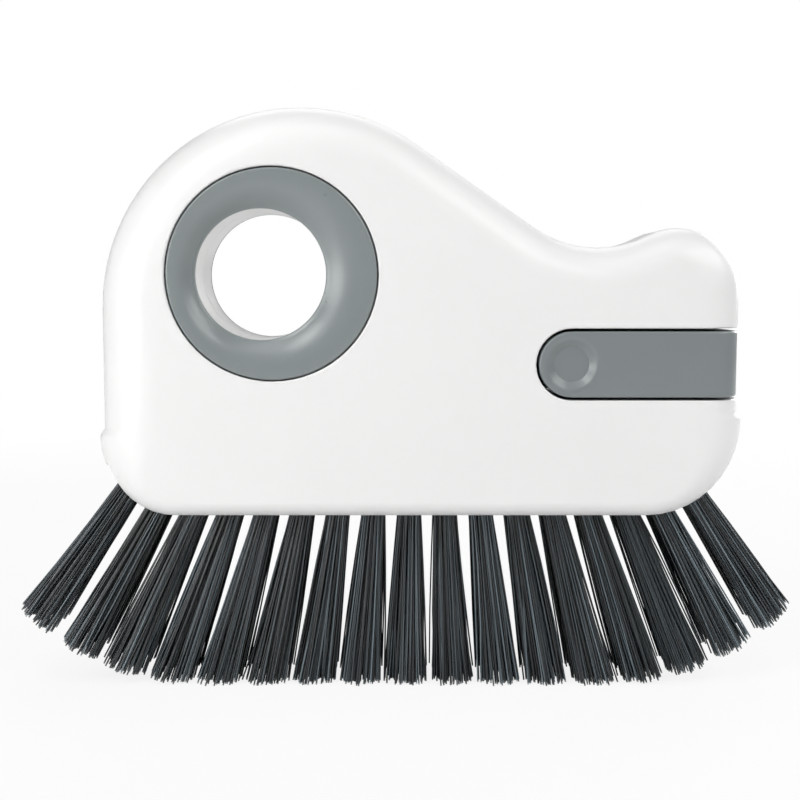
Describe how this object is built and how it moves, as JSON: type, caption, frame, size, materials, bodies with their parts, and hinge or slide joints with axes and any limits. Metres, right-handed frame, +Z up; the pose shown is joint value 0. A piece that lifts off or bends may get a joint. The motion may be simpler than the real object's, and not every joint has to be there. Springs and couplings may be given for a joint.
{
  "type": "gap cleaning brush",
  "caption": "Hand brush with a rounded handle, a finger hole with grey funnel rings, a fan of long bristles and a pull-out detail brush in a side slot.",
  "frame": {"origin": "middle of the footprint on the surface that the bristle tips stand on, below the parting plane of the two shells", "axes": "+X along the brush towards the open end of the slot, -Y out of the front face, +Z up from the bristle tips to the finger hole"},
  "size_m": [0.1551, 0.028, 0.1147],
  "materials": {
    "white_shell": "satin white moulded plastic",
    "grey_grip": "soft matte grey rubber",
    "white_base": "satin white moulded plastic",
    "grey_handle": "satin grey moulded plastic",
    "screw_steel": "plain zinc-plated steel",
    "dark_bristle": "dark slate grey filament",
    "fine_bristle": "dark slate grey fine filament"
  },
  "bodies": {
    "brush_body": {"front_shell": "white_shell", "rear_shell": "white_shell", "front_grip_ring": "grey_grip", "rear_grip_ring": "grey_grip", "bristle_base": "white_base", "shell_screw_1": "screw_steel", "shell_screw_2": "screw_steel", "shell_screw_3": "screw_steel", "shell_screw_4": "screw_steel", "front_tuft_01": "dark_bristle", "front_tuft_02": "dark_bristle", "front_tuft_03": "dark_bristle", "front_tuft_04": "dark_bristle", "front_tuft_05": "dark_bristle", "front_tuft_06": "dark_bristle", "front_tuft_07": "dark_bristle", "front_tuft_08": "dark_bristle", "front_tuft_09": "dark_bristle", "front_tuft_10": "dark_bristle", "front_tuft_11": "dark_bristle", "front_tuft_12": "dark_bristle", "front_tuft_13": "dark_bristle", "front_tuft_14": "dark_bristle", "front_tuft_15": "dark_bristle", "front_tuft_16": "dark_bristle", "front_tuft_17": "dark_bristle", "rear_tuft_01": "dark_bristle", "rear_tuft_02": "dark_bristle", "rear_tuft_03": "dark_bristle", "rear_tuft_04": "dark_bristle", "rear_tuft_05": "dark_bristle", "rear_tuft_06": "dark_bristle", "rear_tuft_07": "dark_bristle", "rear_tuft_08": "dark_bristle", "rear_tuft_09": "dark_bristle", "rear_tuft_10": "dark_bristle", "rear_tuft_11": "dark_bristle", "rear_tuft_12": "dark_bristle", "rear_tuft_13": "dark_bristle", "rear_tuft_14": "dark_bristle", "rear_tuft_15": "dark_bristle", "rear_tuft_16": "dark_bristle", "rear_tuft_17": "dark_bristle"},
    "detail_brush": {"detail_brush_handle": "grey_handle", "detail_tuft_1": "fine_bristle", "detail_tuft_2": "fine_bristle", "detail_tuft_3": "fine_bristle", "detail_tuft_4": "fine_bristle", "detail_tuft_5": "fine_bristle", "detail_tuft_6": "fine_bristle", "detail_tuft_7": "fine_bristle"}
  },
  "joints": [
    {"name": "detail_brush_slide", "type": "slide", "parent": "brush_body", "child": "detail_brush", "axis": [1, 0, 0], "range_m": [0, 0.078]}
  ]
}
